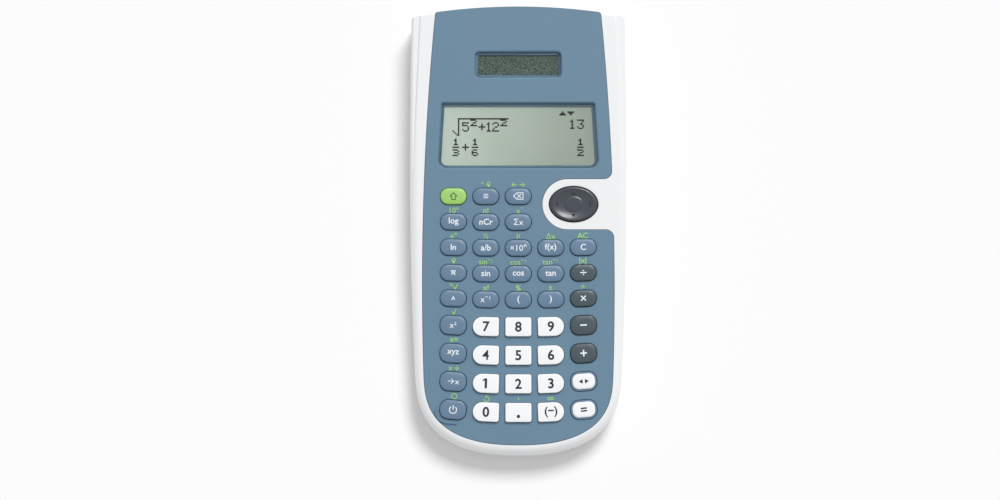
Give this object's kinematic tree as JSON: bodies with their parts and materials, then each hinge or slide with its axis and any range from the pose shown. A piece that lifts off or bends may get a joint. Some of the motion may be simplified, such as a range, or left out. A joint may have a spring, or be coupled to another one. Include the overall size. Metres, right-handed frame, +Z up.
{
  "type": "scientific calculator",
  "caption": "Slim hand-held scientific calculator with a blunt rounded nose, recessed display and solar window, domed round-ended keys and a rocking oval cursor pad.",
  "frame": {"origin": "on the surface it lies on, under the middle of its bounding box", "axes": "+Y to the display end, +X to the right as it is read, +Z up out of the keys"},
  "size_m": [0.083, 0.1718, 0.0183],
  "materials": {
    "shell_white": "moulded ABS, satin",
    "panel_blue": "moulded ABS, fine satin",
    "window_clear": "clear acrylic",
    "solar_glass": "amorphous silicon cell on glass",
    "lcd_glass": "reflective display glass",
    "frame_white": "moulded ABS",
    "ribbon_amber": "polyimide film",
    "silicone": "moulded silicone",
    "board_green": "glass-epoxy board",
    "epoxy_black": "potting epoxy",
    "cell_steel": "stainless can",
    "clip_steel": "nickel-plated spring steel",
    "screw_steel": "zinc-plated",
    "foot_rubber": "moulded rubber",
    "acetal_white": "moulded acetal",
    "pad_charcoal": "moulded ABS, semi-gloss",
    "key_blue": "moulded ABS, semi-gloss",
    "key_white": "moulded ABS, semi-gloss",
    "key_dark": "moulded ABS, semi-gloss",
    "key_green": "moulded ABS, semi-gloss"
  },
  "bodies": {
    "root": {"rear_case": "shell_white", "front_case": "shell_white", "face_panel": "panel_blue", "display_window": "window_clear", "solar_window": "window_clear", "solar_cell": "solar_glass", "lcd_glass": "lcd_glass", "lcd_frame": "frame_white", "lcd_ribbon": "ribbon_amber", "keypad_membrane": "silicone", "main_board": "board_green", "processor_cap": "epoxy_black", "coin_cell": "cell_steel", "battery_clip": "clip_steel", "case_screws": "screw_steel", "board_screws": "screw_steel", "rubber_feet": "foot_rubber"},
    "nav_pivot": {"nav_pivot": "acetal_white"},
    "nav_pad": {"nav_pad": "pad_charcoal"},
    "key_shift": {"key_shift": "key_green"},
    "key_mode": {"key_mode": "key_blue"},
    "key_delete": {"key_delete": "key_blue"},
    "key_log": {"key_log": "key_blue"},
    "key_probability": {"key_probability": "key_blue"},
    "key_data": {"key_data": "key_blue"},
    "key_ln": {"key_ln": "key_blue"},
    "key_fraction": {"key_fraction": "key_blue"},
    "key_exponent": {"key_exponent": "key_blue"},
    "key_table": {"key_table": "key_blue"},
    "key_clear": {"key_clear": "key_blue"},
    "key_pi": {"key_pi": "key_blue"},
    "key_sin": {"key_sin": "key_blue"},
    "key_cos": {"key_cos": "key_blue"},
    "key_tan": {"key_tan": "key_blue"},
    "key_divide": {"key_divide": "key_dark"},
    "key_power": {"key_power": "key_blue"},
    "key_inverse": {"key_inverse": "key_blue"},
    "key_open_bracket": {"key_open_bracket": "key_blue"},
    "key_close_bracket": {"key_close_bracket": "key_blue"},
    "key_multiply": {"key_multiply": "key_dark"},
    "key_square": {"key_square": "key_blue"},
    "key_7": {"key_7": "key_white"},
    "key_8": {"key_8": "key_white"},
    "key_9": {"key_9": "key_white"},
    "key_minus": {"key_minus": "key_dark"},
    "key_variable": {"key_variable": "key_blue"},
    "key_4": {"key_4": "key_white"},
    "key_5": {"key_5": "key_white"},
    "key_6": {"key_6": "key_white"},
    "key_plus": {"key_plus": "key_dark"},
    "key_store": {"key_store": "key_blue"},
    "key_1": {"key_1": "key_white"},
    "key_2": {"key_2": "key_white"},
    "key_3": {"key_3": "key_white"},
    "key_answer": {"key_answer": "key_white"},
    "key_on": {"key_on": "key_blue"},
    "key_0": {"key_0": "key_white"},
    "key_point": {"key_point": "key_white"},
    "key_negative": {"key_negative": "key_white"},
    "key_enter": {"key_enter": "key_white"}
  },
  "joints": [
    {"name": "press_shift", "type": "slide", "parent": "root", "child": "key_shift", "axis": [0, 0.0314, -0.9995], "range_m": [0, 0.001], "stiffness_N_per_m": 800, "springref_m": -0.0002, "deforming": ["keypad_membrane"]},
    {"name": "press_mode", "type": "slide", "parent": "root", "child": "key_mode", "axis": [0, 0.0314, -0.9995], "range_m": [0, 0.001], "stiffness_N_per_m": 800, "springref_m": -0.0002, "deforming": ["keypad_membrane"]},
    {"name": "press_delete", "type": "slide", "parent": "root", "child": "key_delete", "axis": [0, 0.0314, -0.9995], "range_m": [0, 0.001], "stiffness_N_per_m": 800, "springref_m": -0.0002, "deforming": ["keypad_membrane"]},
    {"name": "press_log", "type": "slide", "parent": "root", "child": "key_log", "axis": [0, 0.0314, -0.9995], "range_m": [0, 0.001], "stiffness_N_per_m": 800, "springref_m": -0.0002, "deforming": ["keypad_membrane"]},
    {"name": "press_probability", "type": "slide", "parent": "root", "child": "key_probability", "axis": [0, 0.0314, -0.9995], "range_m": [0, 0.001], "stiffness_N_per_m": 800, "springref_m": -0.0002, "deforming": ["keypad_membrane"]},
    {"name": "press_data", "type": "slide", "parent": "root", "child": "key_data", "axis": [0, 0.0314, -0.9995], "range_m": [0, 0.001], "stiffness_N_per_m": 800, "springref_m": -0.0002, "deforming": ["keypad_membrane"]},
    {"name": "press_ln", "type": "slide", "parent": "root", "child": "key_ln", "axis": [0, 0.0314, -0.9995], "range_m": [0, 0.001], "stiffness_N_per_m": 800, "springref_m": -0.0002, "deforming": ["keypad_membrane"]},
    {"name": "press_fraction", "type": "slide", "parent": "root", "child": "key_fraction", "axis": [0, 0.0314, -0.9995], "range_m": [0, 0.001], "stiffness_N_per_m": 800, "springref_m": -0.0002, "deforming": ["keypad_membrane"]},
    {"name": "press_exponent", "type": "slide", "parent": "root", "child": "key_exponent", "axis": [0, 0.0314, -0.9995], "range_m": [0, 0.001], "stiffness_N_per_m": 800, "springref_m": -0.0002, "deforming": ["keypad_membrane"]},
    {"name": "press_table", "type": "slide", "parent": "root", "child": "key_table", "axis": [0, 0.0314, -0.9995], "range_m": [0, 0.001], "stiffness_N_per_m": 800, "springref_m": -0.0002, "deforming": ["keypad_membrane"]},
    {"name": "press_clear", "type": "slide", "parent": "root", "child": "key_clear", "axis": [0, 0.0314, -0.9995], "range_m": [0, 0.001], "stiffness_N_per_m": 800, "springref_m": -0.0002, "deforming": ["keypad_membrane"]},
    {"name": "press_pi", "type": "slide", "parent": "root", "child": "key_pi", "axis": [0, 0.0314, -0.9995], "range_m": [0, 0.001], "stiffness_N_per_m": 800, "springref_m": -0.0002, "deforming": ["keypad_membrane"]},
    {"name": "press_sin", "type": "slide", "parent": "root", "child": "key_sin", "axis": [0, 0.0314, -0.9995], "range_m": [0, 0.001], "stiffness_N_per_m": 800, "springref_m": -0.0002, "deforming": ["keypad_membrane"]},
    {"name": "press_cos", "type": "slide", "parent": "root", "child": "key_cos", "axis": [0, 0.0314, -0.9995], "range_m": [0, 0.001], "stiffness_N_per_m": 800, "springref_m": -0.0002, "deforming": ["keypad_membrane"]},
    {"name": "press_tan", "type": "slide", "parent": "root", "child": "key_tan", "axis": [0, 0.0314, -0.9995], "range_m": [0, 0.001], "stiffness_N_per_m": 800, "springref_m": -0.0002, "deforming": ["keypad_membrane"]},
    {"name": "press_divide", "type": "slide", "parent": "root", "child": "key_divide", "axis": [0, 0.0314, -0.9995], "range_m": [0, 0.001], "stiffness_N_per_m": 800, "springref_m": -0.0002, "deforming": ["keypad_membrane"]},
    {"name": "press_power", "type": "slide", "parent": "root", "child": "key_power", "axis": [0, 0.0314, -0.9995], "range_m": [0, 0.001], "stiffness_N_per_m": 800, "springref_m": -0.0002, "deforming": ["keypad_membrane"]},
    {"name": "press_inverse", "type": "slide", "parent": "root", "child": "key_inverse", "axis": [0, 0.0314, -0.9995], "range_m": [0, 0.001], "stiffness_N_per_m": 800, "springref_m": -0.0002, "deforming": ["keypad_membrane"]},
    {"name": "press_open_bracket", "type": "slide", "parent": "root", "child": "key_open_bracket", "axis": [0, 0.0314, -0.9995], "range_m": [0, 0.001], "stiffness_N_per_m": 800, "springref_m": -0.0002, "deforming": ["keypad_membrane"]},
    {"name": "press_close_bracket", "type": "slide", "parent": "root", "child": "key_close_bracket", "axis": [0, 0.0314, -0.9995], "range_m": [0, 0.001], "stiffness_N_per_m": 800, "springref_m": -0.0002, "deforming": ["keypad_membrane"]},
    {"name": "press_multiply", "type": "slide", "parent": "root", "child": "key_multiply", "axis": [0, 0.0314, -0.9995], "range_m": [0, 0.001], "stiffness_N_per_m": 800, "springref_m": -0.0002, "deforming": ["keypad_membrane"]},
    {"name": "press_square", "type": "slide", "parent": "root", "child": "key_square", "axis": [0, 0.0314, -0.9995], "range_m": [0, 0.001], "stiffness_N_per_m": 800, "springref_m": -0.0002, "deforming": ["keypad_membrane"]},
    {"name": "press_7", "type": "slide", "parent": "root", "child": "key_7", "axis": [0, 0.0314, -0.9995], "range_m": [0, 0.001], "stiffness_N_per_m": 800, "springref_m": -0.0002, "deforming": ["keypad_membrane"]},
    {"name": "press_8", "type": "slide", "parent": "root", "child": "key_8", "axis": [0, 0.0314, -0.9995], "range_m": [0, 0.001], "stiffness_N_per_m": 800, "springref_m": -0.0002, "deforming": ["keypad_membrane"]},
    {"name": "press_9", "type": "slide", "parent": "root", "child": "key_9", "axis": [0, 0.0314, -0.9995], "range_m": [0, 0.001], "stiffness_N_per_m": 800, "springref_m": -0.0002, "deforming": ["keypad_membrane"]},
    {"name": "press_minus", "type": "slide", "parent": "root", "child": "key_minus", "axis": [0, 0.0314, -0.9995], "range_m": [0, 0.001], "stiffness_N_per_m": 800, "springref_m": -0.0002, "deforming": ["keypad_membrane"]},
    {"name": "press_variable", "type": "slide", "parent": "root", "child": "key_variable", "axis": [0, 0.0314, -0.9995], "range_m": [0, 0.001], "stiffness_N_per_m": 800, "springref_m": -0.0002, "deforming": ["keypad_membrane"]},
    {"name": "press_4", "type": "slide", "parent": "root", "child": "key_4", "axis": [0, 0.0314, -0.9995], "range_m": [0, 0.001], "stiffness_N_per_m": 800, "springref_m": -0.0002, "deforming": ["keypad_membrane"]},
    {"name": "press_5", "type": "slide", "parent": "root", "child": "key_5", "axis": [0, 0.0314, -0.9995], "range_m": [0, 0.001], "stiffness_N_per_m": 800, "springref_m": -0.0002, "deforming": ["keypad_membrane"]},
    {"name": "press_6", "type": "slide", "parent": "root", "child": "key_6", "axis": [0, 0.0314, -0.9995], "range_m": [0, 0.001], "stiffness_N_per_m": 800, "springref_m": -0.0002, "deforming": ["keypad_membrane"]},
    {"name": "press_plus", "type": "slide", "parent": "root", "child": "key_plus", "axis": [0, 0.0314, -0.9995], "range_m": [0, 0.001], "stiffness_N_per_m": 800, "springref_m": -0.0002, "deforming": ["keypad_membrane"]},
    {"name": "press_store", "type": "slide", "parent": "root", "child": "key_store", "axis": [0, 0.0314, -0.9995], "range_m": [0, 0.001], "stiffness_N_per_m": 800, "springref_m": -0.0002, "deforming": ["keypad_membrane"]},
    {"name": "press_1", "type": "slide", "parent": "root", "child": "key_1", "axis": [0, 0.0314, -0.9995], "range_m": [0, 0.001], "stiffness_N_per_m": 800, "springref_m": -0.0002, "deforming": ["keypad_membrane"]},
    {"name": "press_2", "type": "slide", "parent": "root", "child": "key_2", "axis": [0, 0.0314, -0.9995], "range_m": [0, 0.001], "stiffness_N_per_m": 800, "springref_m": -0.0002, "deforming": ["keypad_membrane"]},
    {"name": "press_3", "type": "slide", "parent": "root", "child": "key_3", "axis": [0, 0.0314, -0.9995], "range_m": [0, 0.001], "stiffness_N_per_m": 800, "springref_m": -0.0002, "deforming": ["keypad_membrane"]},
    {"name": "press_answer", "type": "slide", "parent": "root", "child": "key_answer", "axis": [0, 0.0314, -0.9995], "range_m": [0, 0.001], "stiffness_N_per_m": 800, "springref_m": -0.0002, "deforming": ["keypad_membrane"]},
    {"name": "press_on", "type": "slide", "parent": "root", "child": "key_on", "axis": [0, 0.0314, -0.9995], "range_m": [0, 0.001], "stiffness_N_per_m": 800, "springref_m": -0.0002, "deforming": ["keypad_membrane"]},
    {"name": "press_0", "type": "slide", "parent": "root", "child": "key_0", "axis": [0, 0.0314, -0.9995], "range_m": [0, 0.001], "stiffness_N_per_m": 800, "springref_m": -0.0002, "deforming": ["keypad_membrane"]},
    {"name": "press_point", "type": "slide", "parent": "root", "child": "key_point", "axis": [0, 0.0314, -0.9995], "range_m": [0, 0.001], "stiffness_N_per_m": 800, "springref_m": -0.0002, "deforming": ["keypad_membrane"]},
    {"name": "press_negative", "type": "slide", "parent": "root", "child": "key_negative", "axis": [0, 0.0314, -0.9995], "range_m": [0, 0.001], "stiffness_N_per_m": 800, "springref_m": -0.0002, "deforming": ["keypad_membrane"]},
    {"name": "press_enter", "type": "slide", "parent": "root", "child": "key_enter", "axis": [0, 0.0314, -0.9995], "range_m": [0, 0.001], "stiffness_N_per_m": 800, "springref_m": -0.0002, "deforming": ["keypad_membrane"]},
    {"name": "nav_pitch", "type": "hinge", "parent": "root", "child": "nav_pivot", "pos_m": [0.0211, 0.00919, 0.01454], "axis": [1, 0, 0], "range_deg": [-5, 5], "stiffness_Nm_per_rad": 0.03, "deforming": ["keypad_membrane"]},
    {"name": "nav_roll", "type": "hinge", "parent": "nav_pivot", "child": "nav_pad", "pos_m": [0.0211, 0.00919, 0.01454], "axis": [0, 0.9995, 0.0314], "range_deg": [-4, 4], "stiffness_Nm_per_rad": 0.03, "deforming": ["keypad_membrane"]}
  ]
}
